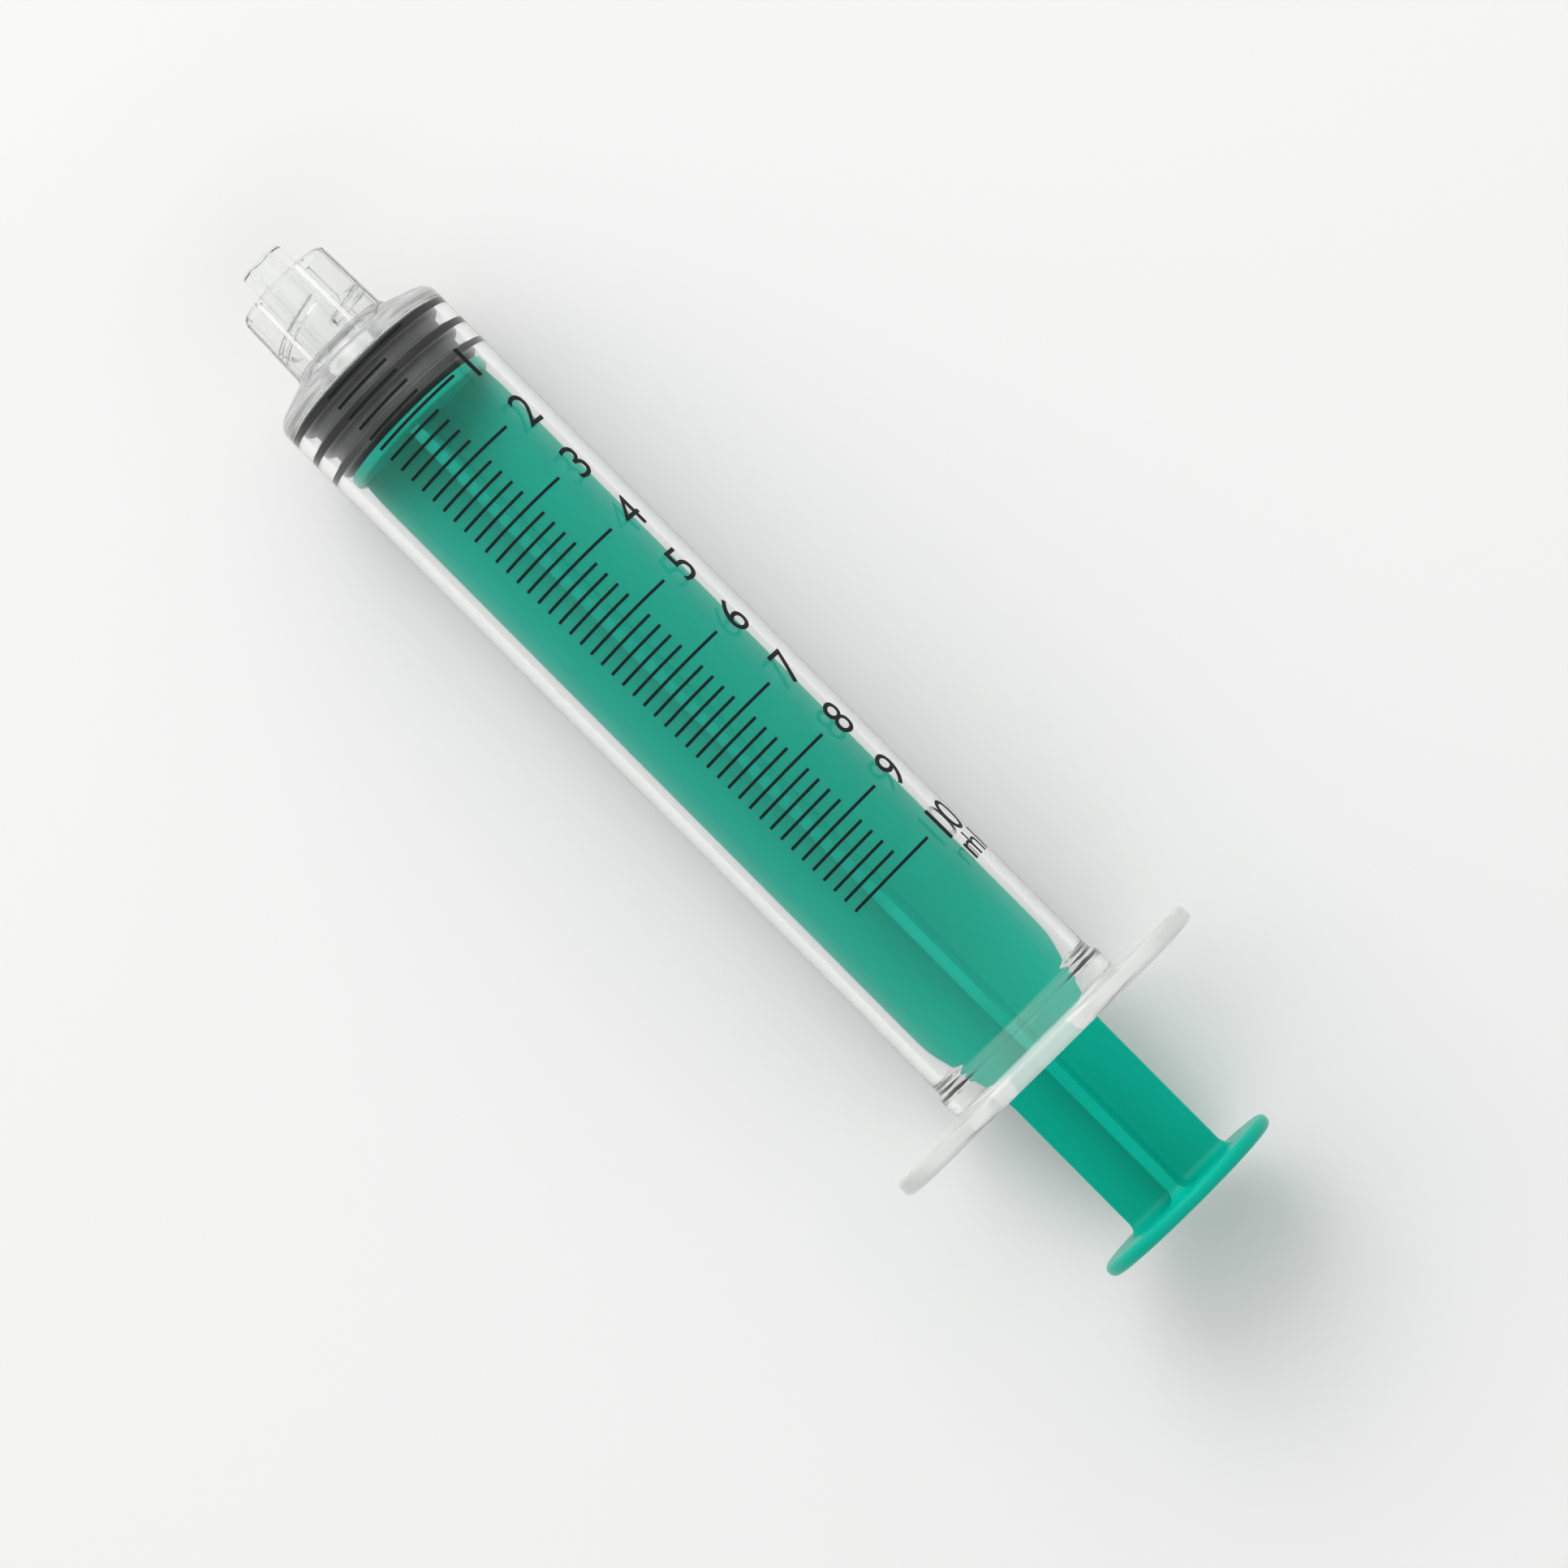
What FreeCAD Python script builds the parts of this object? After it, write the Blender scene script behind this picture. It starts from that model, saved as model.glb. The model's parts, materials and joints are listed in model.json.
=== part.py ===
import FreeCAD, Part
import math
import os

from FreeCAD import Rotation, Vector

# A 10 ml three-piece luer lock syringe with its plunger pushed home: a clear moulded barrel, a
# rubber piston and a cross-finned plunger rod. Lengths are in millimetres.
# The pieces are modelled about one axis along X. x = 0 is the front shoulder of the barrel, the
# nozzle points to -X and the thumb disc to +X. The whole syringe is then laid on its side, on the
# flat of its finger flange and the rim of its front shoulder, with its origin on the surface under
# the middle of its length.

# Barrel tube
bore_diameter = 14.8
barrel_wall = 1.0
barrel_length = 79.25  # front shoulder to the rear face of the flange
shoulder_chamfer = 0.35
front_wall = 1.15  # along the axis, at the edge of the bore
chamber_cone_rise = 1.2  # how far the bottom of the bore slopes forward
nose_cone_rise = 1.5  # how far the nose stands forward of the shoulder

# Nozzle: a standard 6 % taper with its flow channel
nozzle_tip_diameter = 4.0
nozzle_taper = 0.06  # growth of the diameter per unit of length
nozzle_reach = 2.6  # how far the nozzle stands out of the collar
nozzle_tip_chamfer = 0.25
channel_tip_diameter = 1.7
channel_root_diameter = 2.6

# Lock collar with its two-start inner thread and its outer grip ribs
collar_length = 6.75  # from the foot of the nose cone to the mouth of the collar
collar_bore_diameter = 7.9
collar_mouth_wall = 0.3
collar_foot_wall = 0.5
collar_floor_depth = 0.3  # how far the floor lies behind the foot of the nose cone
collar_lead_in = 0.3
thread_starts = 2
thread_lead = 5.0
thread_turn_deg = 200.0  # how far each thread winds round
thread_first_deg = 60.0  # where the first thread starts, from +Y towards +Z
thread_setback = 3.0  # from the mouth of the collar to the middle of a thread's start
thread_height = 0.45
thread_foot_width = 1.0
thread_crest_width = 0.35
grip_ribs = 6
grip_rib_width = 0.45
grip_rib_height = 0.2
grip_rib_run_out = 0.3  # how far each rib reaches into the nose

# Mouth of the barrel
mouth_ring_length = 2.55  # thicker ring in front of the flange
mouth_ring_height = 0.35
mouth_ring_step = 0.35
mouth_relief = 0.5  # how much wider the bore is behind the stop bead
mouth_chamfer = 0.3
bead_setback = 4.3  # from the rear face of the flange to the middle of the bead
bead_height = 0.3
bead_width = 0.9
bead_crest_width = 0.2

# Finger flange: an oval with a flat on each long side, on which the syringe rests
flange_thickness = 1.6
flange_lip = 1.45  # how far the two flats stand out past the mouth ring
flange_wing = 7.55  # how far each wing stands out past the tube
flange_flat_length = 12.0
flange_side_radius = 25.0
flange_end_radius = 14.0
flange_corner_radius = 3.0
flange_edge_chamfer = 0.4
flange_root_flare = 0.4

# Rubber piston
seal_clearance = 0.04  # piston to bore, all round
piston_front_gap = 0.15  # piston to the bottom of the bore
piston_length = 5.35  # from the front rib to the rear face
seal_ribs = 3
seal_rib_width = 1.0
seal_groove_depth = 0.7
seal_groove_slope = 0.3
seal_rib_chamfer = 0.2
piston_lip = 1.3  # rubber that grips behind the head of the rod

# Plunger rod: head, front disc, crossed fins and thumb disc
head_length = 2.2
head_front_radius = 2.9
head_radius = 4.3
neck_radius = 3.0
head_clearance = 0.08  # head and neck to the rubber
face_gap = 0.05  # front disc to the rear of the piston
front_disc_thickness = 1.35
front_disc_clearance = 0.2  # front disc to bore, less than the bead stands in
disc_edge_chamfer = 0.2
fin_clearance = 0.55  # fins to bore, more than the bead stands in
fin_thickness = 0.95
fin_root_rounding = 0.7
grip_radius = 4.95  # fins behind the barrel
grip_taper_length = 7.0
grip_taper_setback = 0.25  # from the end of the taper to the rear face of the barrel
grip_taper_rounding = 6.0
thumb_gap = 14.85  # rear face of the barrel to the thumb disc, with the plunger home
thumb_disc_diameter = 17.7
thumb_disc_thickness = 1.2
thumb_rim_chamfer = 0.4
thumb_fillet = 0.65

# Radii and stations along the axis that follow from the sizes above
bore_radius = bore_diameter / 2
tube_radius = bore_radius + barrel_wall
ring_radius = tube_radius + mouth_ring_height
mouth_radius = bore_radius + mouth_relief
rear_x = barrel_length
flange_x = rear_x - flange_thickness
ring_x = flange_x - mouth_ring_length
bead_x = rear_x - bead_setback
flange_half_height = ring_radius + flange_lip

foot_x = -nose_cone_rise
collar_x = foot_x - collar_length
floor_x = foot_x + collar_floor_depth
nozzle_x = collar_x - nozzle_reach
chamber_x = front_wall - chamber_cone_rise
collar_bore_radius = collar_bore_diameter / 2
collar_mouth_radius = collar_bore_radius + collar_mouth_wall
collar_foot_radius = collar_bore_radius + collar_foot_wall
nozzle_tip_radius = nozzle_tip_diameter / 2
nozzle_root_radius = nozzle_tip_radius + nozzle_taper / 2 * (floor_x - nozzle_x)

seal_radius = bore_radius - seal_clearance
piston_x = front_wall + piston_front_gap
piston_rear_x = piston_x + piston_length
head_x = piston_rear_x - piston_lip
disc_x = piston_rear_x + face_gap
fin_x = disc_x + front_disc_thickness
front_disc_radius = bore_radius - front_disc_clearance
fin_radius = bore_radius - fin_clearance
taper_end_x = rear_x - grip_taper_setback
taper_x = taper_end_x - grip_taper_length
thumb_x = rear_x + thumb_gap
thumb_face_x = thumb_x + thumb_disc_thickness
thumb_radius = thumb_disc_diameter / 2

ORIGIN = Vector(0, 0, 0)
AXIS = Vector(1, 0, 0)


def rounded_wire(corners):
    """A closed wire in the XZ plane through corners (x, radius), or (x, radius, rounding)."""
    points = [Vector(corner[0], 0, corner[1]) for corner in corners]
    ends = []
    for i, (here, corner) in enumerate(zip(points, corners)):
        if len(corner) == 2:
            ends.append((here, None, here))
            continue
        before = points[i - 1] - here
        after = points[(i + 1) % len(points)] - here
        half = before.getAngle(after) / 2
        reach = min(corner[2] / math.tan(half), before.Length / 2, after.Length / 2)
        before.normalize()
        after.normalize()
        middle = (before + after).normalize()
        to_centre = reach / math.cos(half)
        arc_radius = reach * math.tan(half)
        ends.append((here + before * reach, here + middle * (to_centre - arc_radius), here + after * reach))
    edges = []
    for i, (start, middle, end) in enumerate(ends):
        if middle:
            edges.append(Part.Arc(start, middle, end).toShape())
        next_start = ends[(i + 1) % len(ends)][0]
        if (next_start - end).Length > 1e-6:
            edges.append(Part.LineSegment(end, next_start).toShape())
    return Part.Wire(edges)


def turned(corners):
    """The solid that a closed outline makes when it is turned about the syringe's axis."""
    return Part.Face(rounded_wire(corners)).revolve(ORIGIN, AXIS, 360)


def round_bar(radius, start_x, end_x):
    return Part.makeCylinder(radius, end_x - start_x, Vector(start_x, 0, 0), AXIS)


def across_x(shape, x):
    """The edges of a shape that lie in the plane across the axis at x."""
    return [e for e in shape.Edges if abs(e.BoundBox.XMin - x) < 1e-4 and abs(e.BoundBox.XMax - x) < 1e-4]


def barrel_body():
    """Nozzle, collar, nose, tube, stop bead and mouth ring, as one turned section."""
    bead_half = bead_width / 2
    crest_half = bead_crest_width / 2
    bead_radius = bore_radius - bead_height
    flare = min(flange_root_flare, flange_lip - flange_edge_chamfer)
    outside = [
        (nozzle_x, channel_tip_diameter / 2),
        (nozzle_x, nozzle_tip_radius - nozzle_tip_chamfer),
        (nozzle_x + nozzle_tip_chamfer, nozzle_tip_radius),
        (floor_x, nozzle_root_radius),
        (floor_x, collar_bore_radius),
        (collar_x + collar_lead_in, collar_bore_radius),
        (collar_x, collar_bore_radius + collar_mouth_wall / 3),
        (collar_x, collar_mouth_radius),
        (foot_x, collar_foot_radius),
        (0, tube_radius - shoulder_chamfer),
        (shoulder_chamfer, tube_radius),
        (ring_x, tube_radius),
        (ring_x + mouth_ring_step, ring_radius),
        (flange_x - flare, ring_radius),
        (flange_x, ring_radius + flare),
        (rear_x, ring_radius),
    ]
    inside = [
        (rear_x, mouth_radius + mouth_chamfer),
        (rear_x - mouth_chamfer, mouth_radius),
        (bead_x + bead_half, mouth_radius),
        (bead_x + crest_half, bead_radius),
        (bead_x - crest_half, bead_radius),
        (bead_x - bead_half, bore_radius),
        (front_wall, bore_radius),
        (chamber_x, channel_root_diameter / 2),
    ]
    return turned(outside + inside)


def finger_flange():
    """An oval plate with two flats and bevelled edges, with a hole inside the wall of the tube."""
    half_flat = flange_flat_length / 2
    side_centre = flange_half_height - flange_side_radius
    end_centre = tube_radius + flange_wing - flange_end_radius
    # The long side's arc and the end's arc meet where both circles pass.
    between = Vector(0, end_centre - half_flat, -side_centre)
    apart = between.Length
    along = (flange_side_radius**2 - flange_end_radius**2 + apart**2) / (2 * apart)
    across = math.sqrt(flange_side_radius**2 - along**2)
    between.normalize()
    corner_y = half_flat + between.y * along + between.z * across
    corner_z = side_centre + between.z * along - between.y * across

    def at(y, z):
        return Vector(flange_x, y, z)

    def side_arc(y_side, z_side):
        lean = math.atan2(corner_y - half_flat, corner_z - side_centre) / 2
        middle_y = half_flat + flange_side_radius * math.sin(lean)
        middle_z = side_centre + flange_side_radius * math.cos(lean)
        start = at(y_side * half_flat, z_side * flange_half_height)
        end = at(y_side * corner_y, z_side * corner_z)
        return Part.Arc(start, at(y_side * middle_y, z_side * middle_z), end).toShape()

    def end_arc(side):
        outer = at(side * (tube_radius + flange_wing), 0)
        return Part.Arc(at(side * corner_y, -corner_z), outer, at(side * corner_y, corner_z)).toShape()

    def flat(side):
        z = side * flange_half_height
        return Part.LineSegment(at(-half_flat, z), at(half_flat, z)).toShape()

    edges = [end_arc(1), end_arc(-1), flat(1), flat(-1)]
    edges += [side_arc(y_side, z_side) for y_side in (1, -1) for z_side in (1, -1)]
    plate = Part.Face(Part.Wire(Part.__sortEdges__(edges))).extrude(AXIS * flange_thickness)

    corners = [e for e in plate.Edges if abs(abs(e.BoundBox.Center.y) - corner_y) < 1e-3]
    plate = plate.makeFillet(flange_corner_radius, corners)
    rims = across_x(plate, flange_x) + across_x(plate, rear_x)
    plate = plate.makeChamfer(flange_edge_chamfer, rims)
    return plate.cut(round_bar(bore_radius + barrel_wall / 2, flange_x - 1, rear_x + 1))


def grip_rib(turn_deg):
    """One longitudinal rib on the outside of the collar, which runs out on the nose."""
    sunk = collar_mouth_wall / 2
    corners = [
        (collar_x, collar_mouth_radius - sunk),
        (collar_x, collar_mouth_radius + grip_rib_height),
        (foot_x, collar_foot_radius + grip_rib_height),
        (foot_x + grip_rib_run_out, collar_foot_radius - sunk),
    ]
    rib = Part.Face(rounded_wire(corners)).extrude(Vector(0, grip_rib_width, 0))
    rib.translate(Vector(0, -grip_rib_width / 2, 0))
    rib.rotate(ORIGIN, AXIS, turn_deg)
    return rib


def lock_thread(start_deg):
    """One right-handed thread inside the collar, rooted in its wall."""
    turns = thread_turn_deg / 360
    spine = Part.makeHelix(thread_lead, thread_lead * turns, collar_bore_radius)
    sunk = collar_mouth_wall / 2
    slope = (thread_foot_width - thread_crest_width) / 2 / thread_height

    def at(height, half_width):
        return Vector(collar_bore_radius - height, 0, half_width)

    foot = thread_foot_width / 2 + slope * sunk
    crest = thread_crest_width / 2
    corners = [at(-sunk, -foot), at(thread_height, -crest), at(thread_height, crest), at(-sunk, foot)]
    section = Part.makePolygon(corners + corners[:1])
    thread = Part.Wire(spine).makePipeShell([section], True, True)
    # The helix winds about Z from +X: its axis is turned onto X and its start onto +Y.
    thread.rotate(ORIGIN, Vector(1, 1, 1), 120)
    thread.rotate(ORIGIN, AXIS, start_deg)
    thread.translate(Vector(collar_x + thread_setback, 0, 0))
    return thread


def make_barrel():
    ribs = [grip_rib(360 / grip_ribs * (i + 0.5)) for i in range(grip_ribs)]
    threads = [lock_thread(thread_first_deg + 360 / thread_starts * i) for i in range(thread_starts)]
    return barrel_body().fuse([finger_flange()] + ribs + threads).removeSplitter()


def make_piston():
    """Three sealing ribs round a plug with a conical front, hollow behind for the rod's head."""
    groove_radius = seal_radius - seal_groove_depth
    chamfer = seal_rib_chamfer
    pitch = (piston_length - seal_rib_width) / (seal_ribs - 1)
    front = chamber_x + piston_front_gap
    corners = [(front, 0), (front, channel_root_diameter / 2)]
    for i in range(seal_ribs):
        start = piston_x + pitch * i
        end = start + seal_rib_width
        if i:
            corners.append((start - seal_groove_slope, groove_radius))
        corners += [(start, seal_radius - chamfer), (start + chamfer, seal_radius)]
        corners += [(end - chamfer, seal_radius), (end, seal_radius - chamfer)]
        if i < seal_ribs - 1:
            corners.append((end + seal_groove_slope, groove_radius))
    corners += [
        (piston_rear_x, neck_radius + head_clearance),
        (head_x + head_clearance, neck_radius + head_clearance),
        (head_x + head_clearance, head_radius + head_clearance),
        (head_x - head_length / 2, head_radius + head_clearance),
        (head_x - head_length - head_clearance, head_front_radius + head_clearance),
        (head_x - head_length - head_clearance, 0),
    ]
    return turned(corners)


def fin_cross(start_x, end_x):
    """Two crossed fins with rounded roots, as wide as the bore, between two stations."""
    half = fin_thickness / 2
    long = bore_radius + barrel_wall
    root = half + fin_root_rounding
    length = end_x - start_x
    cross = Part.makeBox(length, fin_thickness, 2 * long, Vector(start_x, -half, -long))
    cross = cross.fuse(Part.makeBox(length, 2 * long, fin_thickness, Vector(start_x, -long, -half)))
    fillers = []
    for y, z in ((1, 1), (1, -1), (-1, 1), (-1, -1)):
        corner = Vector(start_x, min(0, y * root), min(0, z * root))
        block = Part.makeBox(length, root, root, corner)
        hollow = Part.makeCylinder(fin_root_rounding, length, Vector(start_x, y * root, z * root), AXIS)
        fillers.append(block.cut(hollow))
    return cross.fuse(fillers).removeSplitter()


def thumb_disc():
    chamfer = thumb_rim_chamfer
    return turned([
        (thumb_x, 0),
        (thumb_x, thumb_radius - chamfer),
        (thumb_x + chamfer, thumb_radius),
        (thumb_face_x - chamfer, thumb_radius),
        (thumb_face_x, thumb_radius - chamfer),
        (thumb_face_x, 0),
    ])


def make_rod():
    """Head and front disc, crossed fins that narrow towards the grip, and the thumb disc."""
    head_front_x = head_x - head_length
    front = turned([
        (head_front_x, 0),
        (head_front_x, head_front_radius),
        (head_x - head_length / 2, head_radius),
        (head_x, head_radius),
        (head_x, neck_radius),
        (disc_x, neck_radius),
        (disc_x, front_disc_radius - disc_edge_chamfer),
        (disc_x + disc_edge_chamfer, front_disc_radius),
        (fin_x - disc_edge_chamfer, front_disc_radius),
        (fin_x, front_disc_radius - disc_edge_chamfer),
        (fin_x, 0),
    ])
    envelope = turned([
        (fin_x - front_disc_thickness / 2, 0),
        (fin_x - front_disc_thickness / 2, fin_radius),
        (taper_x, fin_radius, grip_taper_rounding),
        (taper_end_x, grip_radius, grip_taper_rounding),
        (thumb_face_x - thumb_disc_thickness / 2, grip_radius),
        (thumb_face_x - thumb_disc_thickness / 2, 0),
    ])
    fins = fin_cross(disc_x, thumb_face_x).common(envelope)
    rod = front.fuse([fins, thumb_disc()]).removeSplitter()
    thumb_root = [e for e in across_x(rod, thumb_x) if e.BoundBox.YLength < 2 * grip_radius]
    return rod.makeFillet(thumb_fillet, thumb_root)


def resting_pitch_deg():
    """How far the nose dips when the flange's flat and the rim of the shoulder both touch down."""
    run = flange_x + flange_edge_chamfer - shoulder_chamfer
    return math.degrees(math.atan2(flange_half_height - tube_radius, run))


def laid_down(pieces):
    """The pieces on their side, with the origin on the surface under the middle of the length."""
    pitch = Rotation(Vector(0, 1, 0), -resting_pitch_deg())
    for piece in pieces.values():
        piece.Placement = FreeCAD.Placement(ORIGIN, pitch)
    box = Part.makeCompound(list(pieces.values())).optimalBoundingBox(False, False)
    shift = Vector(-(box.XMin + box.XMax) / 2, 0, -box.ZMin)
    for piece in pieces.values():
        piece.Placement = FreeCAD.Placement(shift, pitch)
    return shift


pieces = {"barrel": make_barrel(), "piston": make_piston(), "plunger_rod": make_rod()}
origin_shift = laid_down(pieces)
os.makedirs("parts", exist_ok=True)
for name, piece in pieces.items():
    piece.exportStep(f"parts/{name}.step")
    print(name, "solids", len(piece.Solids), "valid", piece.isValid(), "volume", round(piece.Volume, 2))
print("pitch", resting_pitch_deg(), "shift", tuple(origin_shift))
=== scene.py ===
"""A 10 ml luer lock syringe on its side: clear barrel with a printed scale, rubber piston, green rod."""
import json
import math

import bmesh
import bpy
import numpy as np
from mathutils import Matrix, Vector


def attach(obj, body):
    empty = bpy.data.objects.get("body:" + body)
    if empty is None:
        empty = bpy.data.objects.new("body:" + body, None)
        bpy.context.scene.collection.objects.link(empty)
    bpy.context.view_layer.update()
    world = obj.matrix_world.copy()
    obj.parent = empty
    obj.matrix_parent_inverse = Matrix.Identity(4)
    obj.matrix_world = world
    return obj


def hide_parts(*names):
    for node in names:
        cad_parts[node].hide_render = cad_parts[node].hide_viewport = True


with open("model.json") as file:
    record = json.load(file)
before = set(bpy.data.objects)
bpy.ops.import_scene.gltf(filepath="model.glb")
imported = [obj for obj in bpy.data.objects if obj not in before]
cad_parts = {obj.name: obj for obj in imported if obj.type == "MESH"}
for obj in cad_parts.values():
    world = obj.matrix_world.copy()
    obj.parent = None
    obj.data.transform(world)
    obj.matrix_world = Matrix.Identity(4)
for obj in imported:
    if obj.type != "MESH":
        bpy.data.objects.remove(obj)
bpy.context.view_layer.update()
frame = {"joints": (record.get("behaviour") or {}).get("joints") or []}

# Every shape is made in millimetres about the syringe's own axis, and then placed where the frame
# says. x = 0 is the front shoulder, the nozzle points to -x and the thumb disc to +x.
MM = 0.001

# Barrel
bore_radius = 7.4
tube_radius = 8.4
barrel_length = 79.25
front_wall = 1.15
chamber_x = -0.05
chamber_rounding = 0.4
bore_corner_rounding = 0.3
nose_foot_x = -1.5
shoulder_rounding = 1.1
nose_rounding = 0.6

# Nozzle and lock collar
nozzle_tip_x = -10.85
nozzle_tip_radius = 2.0
nozzle_root_radius = 2.2895
channel_tip_radius = 0.85
channel_root_radius = 1.3
channel_taper = 0.04
channel_edge_rounding = 0.1
nozzle_rounding = 0.25
collar_x = -8.25
collar_floor_x = -1.2
collar_floor_rounding = 0.2
collar_bore_radius = 3.95
collar_mouth_radius = 4.25
collar_foot_radius = 4.45
collar_lead_in = 0.3
collar_lead_in_height = 0.1
collar_lip_inner_rounding = 0.05
collar_lip_outer_rounding = 0.08
rib_count = 6
rib_width = 0.45
rib_height = 0.2
rib_edge = 0.12  # half the width of each flank
rib_mouth_run_out = 0.2
rib_nose_reach = 0.5
rib_nose_run_out = 0.6
thread_lead = 5.0
thread_turn = math.radians(200)
thread_first = math.radians(60)
thread_start_x = collar_x + 3.0
thread_height = 0.45
thread_foot_half = 0.5
thread_crest_half = 0.18
thread_run_out = math.radians(14)
thread_ring_step = 0.12

# Mouth and finger flange
mouth_radius = 7.9
mouth_rounding = 0.35
mouth_ring_radius = 8.75
mouth_ring_x = 75.1
mouth_ring_step = 0.35
mouth_ring_rounding = 0.5
bead_x = 75.0
bead_front_run = 0.6
bead_back_run = 0.9
bead_height = 0.25
bead_crest_rounding = 0.6
bead_foot_rounding = 0.8
flange_x = 77.65
flange_half_height = 10.2
flange_flat_half = 6.0
flange_side_radius = 25.0
flange_end_y = 15.95
flange_end_radius = 14.0
flange_corner_sharpness = 30
flange_edge_rounding = 0.5
flange_root_rounding = 0.5

# Piston: its ribs press into the bore
piston_x = 1.3
piston_length = 5.35
piston_front_gap = 0.15  # to the bottom of the bore
piston_nose_rounding = 0.4
seal_press = 0.02
seal_rib_count = 3
seal_rib_width = 0.85
seal_groove_depth = 0.75
seal_groove_slope = 0.25
seal_rounding = 0.28

# Rod
head_x = 5.35
head_length = 2.2
head_radius = 4.3
head_front_radius = 2.9
neck_radius = 3.0
head_clearance = 0.08  # head and neck to the rubber
head_rounding = 0.3
head_front_rounding = 0.25
sharp_rounding = 0.1
front_disc_x = 7.1
front_disc_end_x = 8.05
front_disc_radius = 7.2
front_disc_rounding = 0.3
front_disc_fillet = 0.35
fin_radius = 6.85
fin_half_thickness = 0.475
fin_edge_rounding = 0.14
fin_root_rounding = 0.7
fin_setback = 0.45  # from the front disc's rim
fin_dip = 0.3  # further in, at the disc's face
grip_radius = 4.95
taper_start_x = 72.0
taper_end_x = 79.0
taper_rounding = 8.0
thumb_x = 94.1
thumb_face_x = 95.3
thumb_radius = 8.85
thumb_fillet = 1.0

# Printed scale
scale_zero_x = 1.86
scale_step = 5.816
scale_minor_steps = 5
tick_width = 0.26
ink_height = 0.012
ink_depth = 0.004
tick_from_deg = -21.1
major_to_deg = 38.1
minor_to_deg = 17.2
number_from_deg = 50.0
unit_from_deg = 53.8
digit_height = 3.2
unit_height = 2.5
unit_setback = 2.9  # from the last line
digit_stretch = 1.1
digit_centre = -0.2
digit_share = 0.729  # a digit's height as a share of the font's size
digit_cut_step = 0.3
print_skew = 0.0188

# Milkiness of the clear plastic, and the share of painted highlight on the collar's rib crests
collar_haze = 0.08
nose_haze = 0.12
shoulder_haze = 0.38
# painted highlight: the collar's rib crests are made milky white as bright lines of reflected light
painted_rib_highlight_share = 0.5
mouth_haze = 0.04
flange_haze = 0.38
haze_fade = 0.3  # the length over which one turns into the next

# Light of the studio
side_wall_light = 0.32
nozzle_wall_light = 1.75
thumb_wall_light = 0.8
backdrop_light = 0.75
softbox_place = (-0.42, 0.10, 0.46)
softbox_size = 0.36
softbox_power = 1.15

turn_joint = next(joint for joint in frame["joints"] if joint["name"] == "rod_turn")
along = Vector(turn_joint["axis"]).normalized()
across = Vector((0, 1, 0))
upward = along.cross(across)
shoulder_place = Vector(turn_joint["pos_m"])
lean = Matrix((along, across, upward)).transposed().to_4x4()
to_frame = Matrix.Translation(shoulder_place) @ lean @ Matrix.Scale(MM, 4)


def in_frame(x, y, z):
    return to_frame @ Vector((x, y, z))


def smooth_step(value):
    value = np.clip(value, 0, 1)
    return value * value * (3 - 2 * value)


class Value:
    """A socket in a finish, for use in Python expressions."""

    def __init__(self, finish, socket):
        self.finish = finish
        self.socket = socket

    def join(self, operation, first, second):
        return self.finish.add("Math", {"operation": operation}, {0: first, 1: second})

    def __add__(self, other):
        return self.join("ADD", self, other)

    def __radd__(self, other):
        return self.join("ADD", other, self)

    def __sub__(self, other):
        return self.join("SUBTRACT", self, other)

    def __rsub__(self, other):
        return self.join("SUBTRACT", other, self)

    def __mul__(self, other):
        return self.join("MULTIPLY", self, other)

    def __rmul__(self, other):
        return self.join("MULTIPLY", other, self)


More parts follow.
